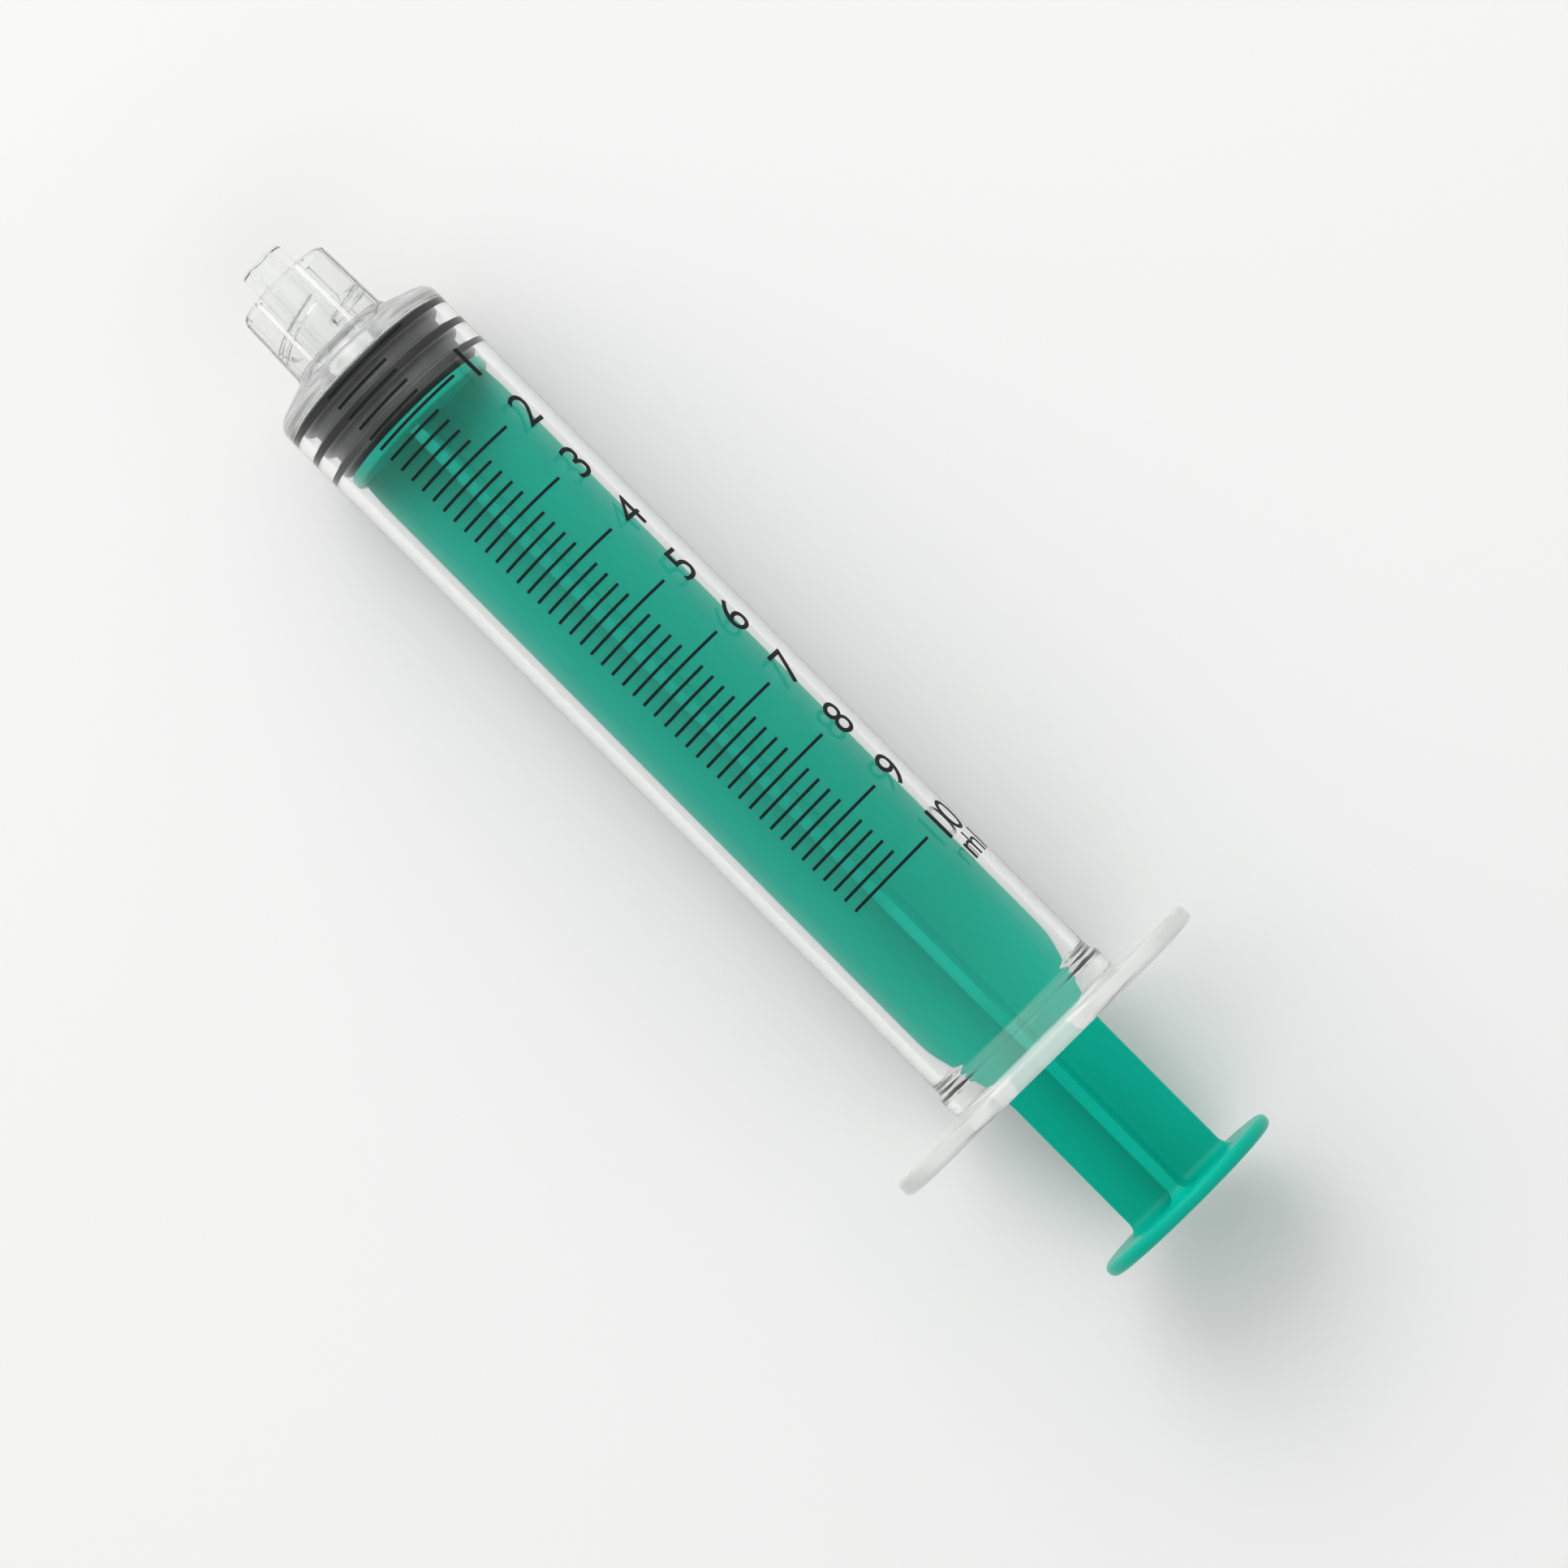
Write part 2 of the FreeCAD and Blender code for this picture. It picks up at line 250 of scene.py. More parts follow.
class Finish:
    """A material and its nodes."""

    def __init__(self, name, material=None):
        self.material = material or bpy.data.materials.new(name)
        self.material.use_nodes = True
        self.tree = self.material.node_tree
        self.tree.nodes.clear()

    def add(self, kind, settings=None, sockets=None, output=0):
        """A node of that kind, with its settings made and its sockets filled, as its output's value."""
        node = self.tree.nodes.new("ShaderNode" + kind)
        for name, setting in (settings or {}).items():
            setattr(node, name, setting)
        for name, value in (sockets or {}).items():
            if isinstance(value, Value):
                self.tree.links.new(value.socket, node.inputs[name])
            elif hasattr(value, "__len__") and len(value) == 3 and node.inputs[name].type == "RGBA":
                node.inputs[name].default_value = (*value, 1)
            else:
                node.inputs[name].default_value = value
        if not node.outputs:
            return None
        return Value(self, node.outputs[output])

    def surface(self, shader):
        self.add("OutputMaterial", {}, {"Surface": shader})
        return self.material

    def grain(self, size_mm, detail=2.0):
        """Noise over the piece, with a given size of its spots."""
        place = self.add("TexCoord", output="Object")
        return self.add("TexNoise", {}, {"Vector": place, "Scale": 1 / (size_mm * MM), "Detail": detail})

    def from_shoulder(self):
        """The place on the piece, from the middle of the barrel's shoulder, as a vector in metres."""
        place = self.add("TexCoord", output="Object")
        return self.add("VectorMath", {"operation": "SUBTRACT"}, {0: place, 1: shoulder_place})

    def station(self):
        """How far along the syringe's axis a point of the piece lies, in millimetres."""
        product = {"operation": "DOT_PRODUCT"}
        metres = self.add("VectorMath", product, {0: self.from_shoulder(), 1: along}, output="Value")
        return metres * (1 / MM)

    def off_axis(self):
        """How far from the syringe's axis a point of the piece lies, in millimetres."""
        cross = self.add("VectorMath", {"operation": "CROSS_PRODUCT"}, {0: self.from_shoulder(), 1: along})
        length = self.add("VectorMath", {"operation": "LENGTH"}, {0: cross}, output="Value")
        return length * (1 / MM)

    def along_axis(self, stops):
        """A number that goes through (station, value) stops along the syringe's axis."""
        station = self.station()
        total = stops[0][1]
        for (start, before), (end, after) in zip(stops, stops[1:]):
            if after != before:
                step = self.add("MapRange", {}, {"Value": station, "From Min": start, "From Max": end})
                total = step * (after - before) + total
        return total

    def mixed_colour(self, share, first, second):
        """One colour turning into another as share goes from 0 to 1."""
        return self.add("Mix", {"data_type": "RGBA"}, {"Factor": share, 6: first, 7: second}, output=2)

    def raised(self, height, depth_mm, strength=1.0):
        """A bump whose full height is depth_mm."""
        return self.add("Bump", {}, {"Height": height, "Distance": depth_mm * MM, "Strength": strength})


def clear_plastic_finish():
    """Clear moulded polypropylene, a little milky at the nose, the mouth and the flange, which lets
    the light of lamps through to what lies behind. Its milk is painted greyer ahead of the piston as
    shade, and the collar's rib crests carry a painted highlight of milky white."""
    finish = Finish("clear_plastic")
    waves = finish.grain(2.5)
    clear = finish.add("BsdfPrincipled", {}, {
        "Base Color": (0.995, 1.0, 0.997),
        "Roughness": 0.03,
        "IOR": 1.49,
        "Specular Tint": (0.3, 0.3, 0.3),
        "Transmission Weight": 1.0,
        "Normal": finish.raised(waves, 0.002, 0.1),
    })
    rib_foot = finish.along_axis([(collar_x, collar_mouth_radius), (nose_foot_x, collar_foot_radius)])
    # painted highlight: milky white on the crests of the collar's ribs, standing in for lines of reflected
    # light
    painted_rib_highlight = finish.add("MapRange", {}, {
        "Value": finish.off_axis() - rib_foot, "From Min": rib_height * 0.3, "From Max": rib_height * 0.8,
    })
    painted_rib_highlight = painted_rib_highlight * finish.along_axis([(nose_foot_x - 0.4, 1.0), (nose_foot_x, 0.0)])
    # painted shade: the milk is greyer (0.6) from the collar back to the piston than behind it (0.82),
    # standing in for the grey shade seen through the nose; the milkiness itself is the plastic's
    past_nose = finish.along_axis([(piston_x, 0.0), (piston_x + 2, 1.0)])
    cloud_and_painted_light = finish.mixed_colour(past_nose, (0.6, 0.605, 0.6), (0.82, 0.825, 0.815))
    milky = finish.add("BsdfPrincipled", {}, {
        "Base Color": finish.mixed_colour(painted_rib_highlight, cloud_and_painted_light, (0.95, 0.95, 0.95)),
        "Roughness": 0.2,
        "IOR": 1.49,
    })
    haze = finish.along_axis([
        (collar_x, collar_haze), (nose_foot_x - 0.4, nose_haze),
        (piston_x - 0.2, nose_haze), (piston_x, 0.0),
        (bead_x - haze_fade, 0.0), (bead_x, mouth_haze),
        (flange_x - haze_fade, mouth_haze), (flange_x, flange_haze),
    ])
    shoulder = finish.add("MapRange", {}, {
        "Value": finish.off_axis(), "From Min": bore_radius, "From Max": tube_radius - 0.1,
    })
    shoulder = shoulder * finish.along_axis([
        (-0.8, 0.0), (-0.2, 1.0), (piston_x - 0.2, 1.0), (piston_x, 0.0),
    ])
    haze = haze + shoulder_haze * shoulder + painted_rib_highlight_share * painted_rib_highlight
    plastic = finish.add("MixShader", {}, {0: haze, 1: clear, 2: milky})
    lit_through = finish.add("BsdfTransparent", {}, {"Color": (1.0, 1.0, 1.0)})
    shadow = finish.add("LightPath", output="Is Shadow Ray")
    return finish.surface(finish.add("MixShader", {}, {0: shadow, 1: plastic, 2: lit_through}))


def green_plastic_finish():
    """Green moulded plastic with a satin gloss, a little uneven in colour where it flowed."""
    finish = Finish("green_plastic")
    flow = finish.grain(9.0, 3.0)
    speck = finish.grain(0.25)
    colour = finish.mixed_colour(flow, (0.0, 0.38, 0.272), (0.0, 0.41, 0.3))
    body = finish.add("BsdfPrincipled", {}, {
        "Base Color": colour,
        "Roughness": 0.24 + 0.12 * speck,
        "IOR": 1.49,
        "Specular IOR Level": 0.1,
        "Normal": finish.raised(speck, 0.004, 0.4),
    })
    return finish.surface(body)


def black_rubber_finish():
    """Black synthetic rubber with a film of silicone oil. Its colour holds painted reflection: a lighter,
    blotchy grey in the grooves stands in for the bore's reflection over the air gap and its highlights,
    and the ribs, where they press against the bore and no such reflection shows, are near black."""
    finish = Finish("black_rubber")
    speck = finish.grain(0.12)
    # painted reflection: the grooves' grey, with blotches from this noise, stands in for light reflected at
    # the bore over the air gap; the noise also varies the roughness
    cloud_and_painted_light = finish.grain(1.5, 3.0)
    groove_painted_reflection = finish.mixed_colour(cloud_and_painted_light, (0.045, 0.045, 0.046), (0.13, 0.13, 0.132))
    # near black where the ribs press on the bore, where that painted reflection is left out
    touch = finish.add("MapRange", {}, {
        "Value": finish.off_axis(), "From Min": bore_radius - 0.04, "From Max": bore_radius,
    })
    pressed = touch * finish.along_axis([(piston_x + 3.2, 1.0), (piston_x + 3.8, 0.4)])
    body = finish.add("BsdfPrincipled", {}, {
        "Base Color": finish.mixed_colour(pressed, groove_painted_reflection, (0.008, 0.008, 0.008)),
        "Roughness": 0.4 + 0.1 * cloud_and_painted_light,
        "IOR": 1.5,
        "Normal": finish.raised(speck, 0.004, 0.35),
    })
    return finish.surface(body)


def ink_finish():
    """Black screen-printed ink, a little uneven in gloss."""
    finish = Finish("scale_ink")
    cover = finish.grain(0.35, 3.0)
    colour = finish.mixed_colour(cover, (0.003, 0.004, 0.004), (0.008, 0.01, 0.01))
    body = finish.add("BsdfPrincipled", {}, {
        "Base Color": colour,
        "Specular IOR Level": 0.15,
        "Roughness": 0.45 + 0.15 * cover,
        "Normal": finish.raised(cover, 0.002, 0.4),
    })
    return finish.surface(body)


def new_piece(name, points, faces, finish, body):
    """A smooth mesh from points in millimetres about the axis, riding on a body."""
    mesh = bpy.data.meshes.new(name)
    mesh.from_pydata([tuple(p) for p in points], [], faces)
    mesh.transform(to_frame)
    mesh.materials.append(finish)
    mesh.shade_smooth()
    mesh.update()
    piece = bpy.data.objects.new(name, mesh)
    bpy.context.scene.collection.objects.link(piece)
    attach(piece, body)
    return piece


def lofted(rings, looped=False):
    """Points and faces of a skin over rings of points, closed on itself or with a cap at each end."""
    rings = np.asarray(rings, float)
    count, around = rings.shape[:2]
    points = rings.reshape(-1, 3)
    faces = []
    for i in range(count if looped else count - 1):
        row = i * around
        next_row = (i + 1) % count * around
        for j in range(around):
            k = (j + 1) % around
            faces.append((row + j, row + k, next_row + k, next_row + j))
    if not looped:
        first, last = len(points), len(points) + 1
        points = np.vstack([points, rings[0].mean(0), rings[-1].mean(0)])
        final_row = (count - 1) * around
        for j in range(around):
            k = (j + 1) % around
            faces.append((first, k, j))
            faces.append((last, final_row + j, final_row + k))
    return points, faces


def soft_line(corners):
    """Points along a line of corners (x, radius, rounding), with round arcs at the corners."""
    points = []
    places = [np.array(corner[:2], float) for corner in corners]
    for i, here in enumerate(places):
        rounding = corners[i][2]
        if not rounding or i in (0, len(places) - 1):
            points.append(here)
            continue
        before = places[i - 1] - here
        after = places[i + 1] - here
        longest = 0.49 * min(np.linalg.norm(before), np.linalg.norm(after))
        before /= np.linalg.norm(before)
        after /= np.linalg.norm(after)
        half = math.acos(np.clip(before @ after, -1, 1)) / 2
        reach = min(rounding / math.tan(half), longest)
        radius = reach * math.tan(half)
        centre = here + (before + after) / np.linalg.norm(before + after) * radius / math.sin(half)
        start = here + before * reach - centre
        sweep = math.pi - 2 * half
        steps = max(2, math.ceil(math.degrees(sweep) / 15))
        turn = math.copysign(sweep / steps, before[1] * after[0] - before[0] * after[1])
        for step in range(steps + 1):
            c, s = math.cos(turn * step), math.sin(turn * step)
            points.append(centre + np.array((c * start[0] - s * start[1], s * start[0] + c * start[1])))
    return points


def ray_to_circle(directions, centre, radius):
    """How far each ray from the axis runs to a circle that holds the axis."""
    toward = directions @ np.array(centre)
    return toward + np.sqrt(radius**2 - centre[0] ** 2 - centre[1] ** 2 + toward**2)


def flange_outline(turns):
    """The oval flange's outline at those turns about the axis, and its outward normals."""
    directions = np.stack([np.cos(turns), np.sin(turns)], -1)
    quarter = np.abs(directions)
    to_flat = flange_half_height / np.maximum(quarter[:, 1], 1e-3)
    side_centre = (flange_flat_half, flange_half_height - flange_side_radius)
    to_side = ray_to_circle(quarter, side_centre, flange_side_radius)
    to_side = np.where(to_flat * quarter[:, 0] < flange_flat_half, to_flat, to_side)
    to_end = ray_to_circle(quarter, (flange_end_y - flange_end_radius, 0), flange_end_radius)
    # A soft minimum, which rounds the corners where side and end meet
    sharpness = flange_corner_sharpness
    reach = (to_end**-sharpness + to_side**-sharpness) ** (-1 / sharpness)
    outline = directions * reach[:, None]
    run = np.roll(outline, -1, 0) - np.roll(outline, 1, 0)
    normals = np.stack([run[:, 1], -run[:, 0]], -1)
    return outline, normals / np.linalg.norm(normals, axis=1, keepdims=True)


def rib_swell(x, radius, turns):
    """How far the collar's outer ribs stand out."""
    pitch = 2 * math.pi / rib_count
    off_rib = (turns / pitch + 0.5) % 1 - 0.5
    distance = np.abs(off_rib) * pitch * radius
    across_rib = smooth_step((rib_width / 2 + rib_edge - distance) / (2 * rib_edge))
    from_mouth = smooth_step((x - collar_x) / rib_mouth_run_out)
    to_nose = smooth_step((nose_foot_x + rib_nose_reach - x) / rib_nose_run_out)
    return rib_height * across_rib * from_mouth * to_nose


def thread_swell(x, turns):
    """How far the collar's two right-handed threads stand in."""
    swell = np.zeros_like(turns)
    for start in (thread_first, thread_first + math.pi):
        wound = (turns - start) % (2 * math.pi)
        distance = np.abs(x - thread_start_x - thread_lead * wound / (2 * math.pi))
        flank = smooth_step((thread_foot_half - distance) / (thread_foot_half - thread_crest_half))
        ends = smooth_step(wound / thread_run_out) * smooth_step((thread_turn - wound) / thread_run_out)
        swell = np.maximum(swell, thread_height * flank * ends)
    return swell


def barrel_piece(finish):
    """Nozzle, lock collar, nose, tube, stop bead and finger flange in one skin."""
    around = 384
    turns = np.arange(around) / around * 2 * math.pi
    outline, normals = flange_outline(turns)
    rings = []

    def add_rings(line, shape):
        for x, radius in line:
            if shape == "rim":
                flat = outline + normals * radius
            else:
                reach = np.full(around, radius)
                if shape == "ribbed":
                    reach = reach + rib_swell(x, radius, turns)
                if shape == "threaded":
                    reach = reach - thread_swell(x, turns)
                flat = np.stack([np.cos(turns), np.sin(turns)], -1) * reach[:, None]
            rings.append(np.column_stack([np.full(around, x), flat]))

    mouth_x = collar_x + collar_lead_in
    add_rings(soft_line([
        (chamber_x, channel_root_radius, 0),
        (nozzle_tip_x, channel_tip_radius, channel_edge_rounding),
        (nozzle_tip_x, nozzle_tip_radius, nozzle_rounding),
        (collar_floor_x, nozzle_root_radius, nozzle_rounding),
        (collar_floor_x, collar_bore_radius, collar_floor_rounding),
        (collar_floor_x - 0.4, collar_bore_radius, 0),
    ])[1:-1], "round")
    thread_places = np.arange(collar_floor_x - 0.4, mouth_x, -thread_ring_step)
    add_rings([(x, collar_bore_radius) for x in thread_places], "threaded")
    add_rings(soft_line([
        (mouth_x, collar_bore_radius, 0),
        (collar_x, collar_bore_radius + collar_lead_in_height, collar_lip_inner_rounding),
        (collar_x, collar_mouth_radius, collar_lip_outer_rounding),
        (collar_x + 0.35, collar_mouth_radius, 0),
    ]), "ribbed")
    add_rings(soft_line([
        (collar_x + 1, collar_mouth_radius + 0.03, 0),
        (nose_foot_x, collar_foot_radius, nose_rounding),
        (0, tube_radius, shoulder_rounding),
        (shoulder_rounding * 2, tube_radius, 0),
    ]), "ribbed")
    add_rings(soft_line([
        (mouth_ring_x - 1, tube_radius, 0),
        (mouth_ring_x, tube_radius, mouth_ring_rounding),
        (mouth_ring_x + mouth_ring_step, mouth_ring_radius, mouth_ring_rounding),
        (flange_x, mouth_ring_radius, flange_root_rounding),
        (flange_x, mouth_ring_radius + 1, 0),
    ])[:-1], "round")
    add_rings(soft_line([
        (flange_x, -1, 0),
        (flange_x, 0, flange_edge_rounding),
        (barrel_length, 0, flange_edge_rounding),
        (barrel_length, -1, 0),
    ])[1:-1], "rim")
    add_rings(soft_line([
        (barrel_length, mouth_radius + 1, 0),
        (barrel_length, mouth_radius, mouth_rounding),
        (bead_x + bead_back_run, mouth_radius, bead_foot_rounding),
        (bead_x, bore_radius - bead_height, bead_crest_rounding),
        (bead_x - bead_front_run, bore_radius, bead_foot_rounding),
        (bead_x - bead_front_run - 2, bore_radius, 0),
    ])[1:], "round")
    add_rings(soft_line([
        (front_wall + 1, bore_radius, 0),
        (front_wall, bore_radius, bore_corner_rounding),
        (chamber_x, channel_root_radius, chamber_rounding),
        (chamber_x - 1, channel_root_radius - channel_taper, 0),
    ]), "round")
    points, faces = lofted(rings, looped=True)
    piece = new_piece("clear_barrel", points, faces, finish, "barrel")
    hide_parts("barrel")


def turned_piece(name, line, finish, body, around=256):
    """A solid turned about the axis, from a line that starts and ends near it."""
    turns = np.arange(around) / around * 2 * math.pi
    rings = [np.column_stack([np.full(around, x), r * np.cos(turns), r * np.sin(turns)]) for x, r in line]
    points, faces = lofted(rings)
    return new_piece(name, points, faces, finish, body)


def piston_piece(finish):
    """Three round-edged sealing ribs on a plug with a conical front."""
    seal_radius = bore_radius + seal_press
    groove_radius = seal_radius - seal_groove_depth
    pitch = (piston_length - seal_rib_width) / (seal_rib_count - 1)
    rear_x = piston_x + piston_length
    front_x = chamber_x + piston_front_gap
    hollow_x = head_x - head_length - head_clearance
    hollow_radius = head_radius + head_clearance
    corners = [(front_x, 0.2, 0), (front_x, channel_root_radius, piston_nose_rounding)]
    for i in range(seal_rib_count):
        start = piston_x + pitch * i
        end = start + seal_rib_width
        if i:
            corners.append((start - seal_groove_slope, groove_radius, seal_rounding))
        corners += [(start, seal_radius, seal_rounding), (end, seal_radius, seal_rounding)]
        if i < seal_rib_count - 1:
            corners.append((end + seal_groove_slope, groove_radius, seal_rounding))
    corners += [
        (rear_x, neck_radius + head_clearance, 0.2),
        (head_x + head_clearance, neck_radius + head_clearance, sharp_rounding),
        (head_x + head_clearance, hollow_radius, sharp_rounding),
        (head_x - head_length / 2, hollow_radius, head_rounding),
        (hollow_x, head_front_radius + head_clearance, 0.2),
        (hollow_x, 0.2, 0),
    ]
    piece = turned_piece("rubber_piston", soft_line(corners), finish, "piston")
    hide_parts("piston")


def fin_outline(reach, swell=0.0):
    """The outline of the crossed fins, each reaching that far, grown outwards by swell."""
    half = fin_half_thickness + swell
    root = max(fin_root_rounding - swell, 0.05)
    tip = reach + swell
    edge = min(fin_edge_rounding, half / 2)
    tip_half_turn = math.asin((half - edge) / (tip - edge))
    eighth = [(tip * math.cos(t), tip * math.sin(t)) for t in np.linspace(0, tip_half_turn, 3)]
    corner = ((tip - edge) * math.cos(tip_half_turn), half - edge)
    for t in np.linspace(tip_half_turn, math.pi / 2, 5)[1:]:
        eighth.append((corner[0] + edge * math.cos(t), corner[1] + edge * math.sin(t)))
    root_centre = half + root
    eighth += [(y, half) for y in np.linspace(corner[0], root_centre, 5)[1:]]
    for t in np.linspace(0, math.pi / 4, 6)[1:]:
        eighth.append((root_centre - root * math.sin(t), root_centre - root * math.cos(t)))
    eighth = np.array(eighth)
    quarter = np.vstack([eighth, eighth[-2:0:-1, ::-1]])
    parts = []
    for i in range(4):
        c, s = round(math.cos(i * math.pi / 2)), round(math.sin(i * math.pi / 2))
        parts.append(quarter @ np.array(((c, s), (-s, c))))
    return np.vstack(parts)


def rod_piece(finish):
    """Barbed head, front disc, crossed fins that narrow towards the grip, and thumb disc."""
    around = len(fin_outline(fin_radius))
    turns = np.arange(around) / around * 2 * math.pi
    circle = np.stack([np.cos(turns), np.sin(turns)], -1)
    rings = []

    def add_circles(line):
        for x, radius in line:
            rings.append(np.column_stack([np.full(around, x), circle * radius]))

    def add_fins(x, reach, swell=0.0):
        rings.append(np.column_stack([np.full(around, x), fin_outline(reach, swell)]))

    def fillet_swell(distance, fillet):
        return fillet - math.sqrt(fillet**2 - (fillet - distance) ** 2)

    add_circles(soft_line([
        (head_x - head_length, 0.2, 0),
        (head_x - head_length, head_front_radius, head_front_rounding),
        (head_x - head_length / 2, head_radius, head_rounding),
        (head_x, head_radius, sharp_rounding),
        (head_x, neck_radius, sharp_rounding),
        (front_disc_x, neck_radius, sharp_rounding),
        (front_disc_x, front_disc_radius, front_disc_rounding),
        (front_disc_end_x, front_disc_radius, front_disc_rounding),
        (front_disc_end_x, front_disc_radius - 0.4, 0),
    ])[:-1])
    for part in np.linspace(0, 1, 5):
        distance = front_disc_fillet * (1 - math.cos(part * math.pi / 2))
        reach = front_disc_radius - fin_setback - fin_dip * (1 - part)
        add_fins(front_disc_end_x + distance, reach, fillet_swell(distance, front_disc_fillet))
    add_fins(front_disc_end_x + 2, fin_radius)
    taper = soft_line([
        (taper_start_x - taper_rounding, fin_radius, 0),
        (taper_start_x, fin_radius, taper_rounding),
        (taper_end_x, grip_radius, taper_rounding),
        (taper_end_x + taper_rounding, grip_radius, 0),
    ])
    for x, reach in taper:
        add_fins(x, reach)
    for part in np.linspace(1, 0, 8):
        distance = thumb_fillet * (1 - math.cos(part * math.pi / 2))
        add_fins(thumb_x - distance, grip_radius, fillet_swell(distance, thumb_fillet))
    half_disc = (thumb_face_x - thumb_x) / 2
    add_circles(soft_line([
        (thumb_x, thumb_radius - 1, 0),
        (thumb_x, thumb_radius, half_disc),
        (thumb_face_x, thumb_radius, half_disc),
        (thumb_face_x, 0.2, 0),
    ])[1:])
    points, faces = lofted(rings)
    piece = new_piece("green_rod", points, faces, finish, "rod")
    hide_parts("plunger_rod")


def studio_walls():
    """Walls that are bright past the nozzle and the thumb disc and dim at the sides and overhead, where
    the tube's gloss would mirror them."""
    walls = Finish("studio", bpy.data.worlds.new("studio"))
    direction = walls.add("TexCoord", output="Generated")
    product = {"operation": "DOT_PRODUCT"}
    toward_thumb = walls.add("VectorMath", product, {0: direction, 1: along}, output="Value")
    near = walls.add("MapRange", {}, {"Value": toward_thumb, "From Min": -0.15, "From Max": -0.75})
    far = walls.add("MapRange", {}, {"Value": toward_thumb, "From Min": 0.15, "From Max": 0.75})
    light = side_wall_light + near * nozzle_wall_light + far * thumb_wall_light
    seen = walls.add("LightPath", output="Is Camera Ray")
    for ray in ("Is Glossy Ray", "Is Transmission Ray"):
        seen = walls.add("Math", {"operation": "MAXIMUM"}, {0: seen, 1: walls.add("LightPath", output=ray)})
    light = light * (1 - seen) + backdrop_light * seen
    background = walls.add("Background", {}, {"Color": (1, 1, 1), "Strength": light})
    walls.add("OutputWorld", {}, {"Surface": background})
    return walls.material


def add_studio():
    """A pale floor, a soft lamp and pale walls."""
    scene = bpy.context.scene
    ground = bpy.data.meshes.new("floor")
    ground.from_pydata([(-3, -3, 0), (3, -3, 0), (3, 3, 0), (-3, 3, 0)], [], [(0, 1, 2, 3)])
    floor = bpy.data.objects.new("floor", ground)
    scene.collection.objects.link(floor)
    finish = Finish("pale_floor")
    ground.materials.append(finish.surface(finish.add("BsdfPrincipled", {}, {
        "Base Color": (0.84, 0.84, 0.835),
        "Roughness": 0.7,
        "Specular IOR Level": 0.0,
    })))
    scene.world = studio_walls()
    lamp = bpy.data.lights.new("nozzle_side_softbox", "AREA")
    lamp.size = softbox_size
    lamp.energy = softbox_power
    holder = bpy.data.objects.new("nozzle_side_softbox", lamp)
    holder.location = softbox_place
    holder.rotation_euler = (-Vector(softbox_place)).to_track_quat("-Z", "Y").to_euler()
    scene.collection.objects.link(holder)


def add_camera():
    """A long lens looking down on the syringe, which lies across the picture from top left."""
    photo_width = 1932
    pixels_per_mm = 15.387
    axis_in_photo = Vector((0.70514, 0.70907))
    shoulder_in_photo = Vector((434.66, 437.87))
    eye_x = 67.23
    eye_distance = 471.6
    eye_lean = math.radians(5.21)
    middle = Vector((photo_width / 2, photo_width / 2)) - shoulder_in_photo
    aim_x = middle.dot(axis_in_photo) / pixels_per_mm
    aim_y = middle.dot(Vector((axis_in_photo.y, -axis_in_photo.x))) / pixels_per_mm
    eye = in_frame(eye_x, eye_distance * math.sin(eye_lean), eye_distance * math.cos(eye_lean))
    aim = in_frame(aim_x, aim_y, 0)
    forward = (aim - eye).normalized()
    right = along * axis_in_photo.x + across * axis_in_photo.y
    right = (right - forward * right.dot(forward)).normalized()
    up = right.cross(forward)
    lens = bpy.data.cameras.new("camera")
    lens.sensor_width = 36
    lens.lens = pixels_per_mm * (aim - eye).length / MM / photo_width * lens.sensor_width
    lens.clip_start = 0.01
    camera = bpy.data.objects.new("camera", lens)
    camera.matrix_world = Matrix.Translation(eye) @ Matrix((right, up, -forward)).transposed().to_4x4()
    bpy.context.scene.collection.objects.link(camera)
    bpy.context.scene.camera = camera


def printed(x, turn, lift):
    """Where a place on the scale lies, when the print runs a little askew round the tube."""
    first_major_x = scale_zero_x + scale_step
    skewed = turn + (x - first_major_x) * print_skew / tube_radius
    radius = tube_radius + lift
    return (x - turn * tube_radius * print_skew, radius * math.sin(skewed), radius * math.cos(skewed))


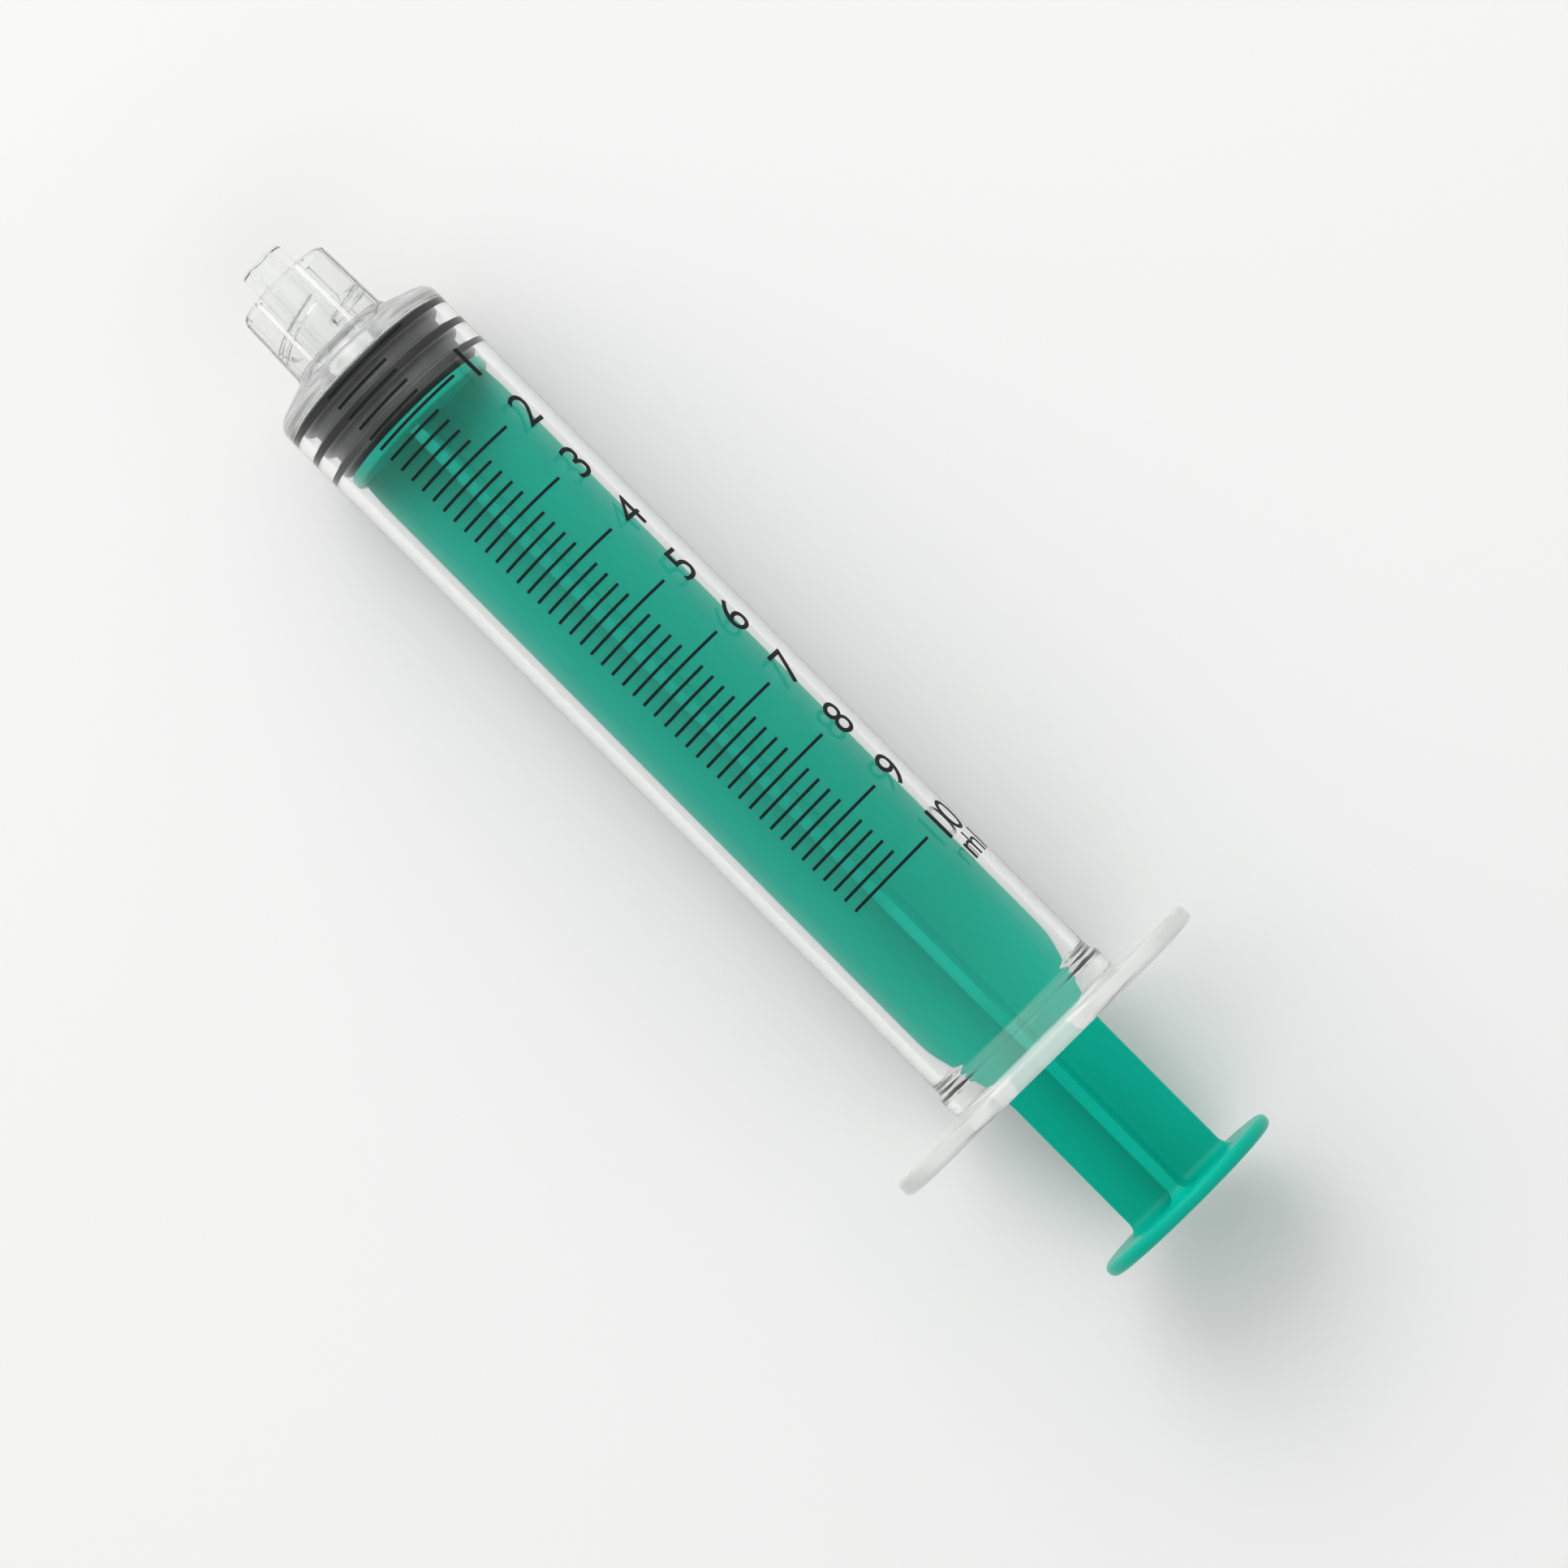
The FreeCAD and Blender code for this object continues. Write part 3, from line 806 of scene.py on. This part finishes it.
def ticks_piece(finish):
    """The scale's lines, as thin curved bars of ink on the tube."""
    points, faces = [], []
    for step in range(10 * scale_minor_steps + 1):
        major = step % scale_minor_steps == 0
        x = scale_zero_x + scale_step * step / scale_minor_steps
        start = math.radians(tick_from_deg)
        end = math.radians(major_to_deg if major else minor_to_deg)
        segments = max(2, math.ceil(math.degrees(end - start) / 2))
        base = len(points)
        for turn in np.linspace(start, end, segments + 1):
            for side, lift in ((-1, -ink_depth), (1, -ink_depth), (1, ink_height), (-1, ink_height)):
                points.append(printed(x + side * tick_width / 2, turn, lift))
        for i in range(segments):
            for k in range(4):
                a, b = base + 4 * i + k, base + 4 * i + (k + 1) % 4
                faces.append((a, a + 4, b + 4, b))
        faces.append((base, base + 1, base + 2, base + 3))
        last = base + 4 * segments
        faces.append((last + 3, last + 2, last + 1, last))
    piece = new_piece("scale_lines", points, faces, finish, "barrel")
    piece.data.shade_flat()


def numbers_piece(finish):
    """The numbers 1 to 10 and the unit, bent round the tube."""
    marks = [(str(k), scale_zero_x + scale_step * k, number_from_deg, digit_height) for k in range(1, 11)]
    marks.append(("ml", scale_zero_x + scale_step * 10 + unit_setback, unit_from_deg, unit_height))
    everything = bmesh.new()
    for text, x, start_deg, height in marks:
        letters = bpy.data.curves.new("letters", "FONT")
        letters.body = text
        letters.size = height / digit_share
        letters.extrude = (ink_height + ink_depth) / 2
        letters.resolution_u = 6
        holder = bpy.data.objects.new("letters", letters)
        bpy.context.scene.collection.objects.link(holder)
        bpy.context.view_layer.update()
        flat = bpy.data.meshes.new_from_object(holder)
        bpy.data.objects.remove(holder)
        work = bmesh.new()
        work.from_mesh(flat)
        lowest = min(v.co.x for v in work.verts)
        highest = max(v.co.x for v in work.verts)
        for cut in np.arange(lowest + digit_cut_step, highest, digit_cut_step):
            geometry = work.verts[:] + work.edges[:] + work.faces[:]
            bmesh.ops.bisect_plane(work, geom=geometry, plane_co=(cut, 0, 0), plane_no=(1, 0, 0))
        for v in work.verts:
            turn = math.radians(start_deg) + (v.co.x - lowest) * digit_stretch / tube_radius
            lift = v.co.z + (ink_height - ink_depth) / 2
            v.co = printed(x + digit_centre - v.co.y + height / 2, turn, lift)
        work.to_mesh(flat)
        work.free()
        everything.from_mesh(flat)
        bpy.data.meshes.remove(flat)
    bmesh.ops.recalc_face_normals(everything, faces=everything.faces[:])
    mesh = bpy.data.meshes.new("scale_numbers")
    everything.to_mesh(mesh)
    everything.free()
    mesh.transform(to_frame)
    mesh.materials.append(finish)
    piece = bpy.data.objects.new("scale_numbers", mesh)
    bpy.context.scene.collection.objects.link(piece)
    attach(piece, "barrel")


add_camera()
add_studio()
barrel_piece(clear_plastic_finish())
piston_piece(black_rubber_finish())
rod_piece(green_plastic_finish())
ink = ink_finish()
ticks_piece(ink)
numbers_piece(ink)
bpy.context.scene.view_settings.view_transform = "Standard"
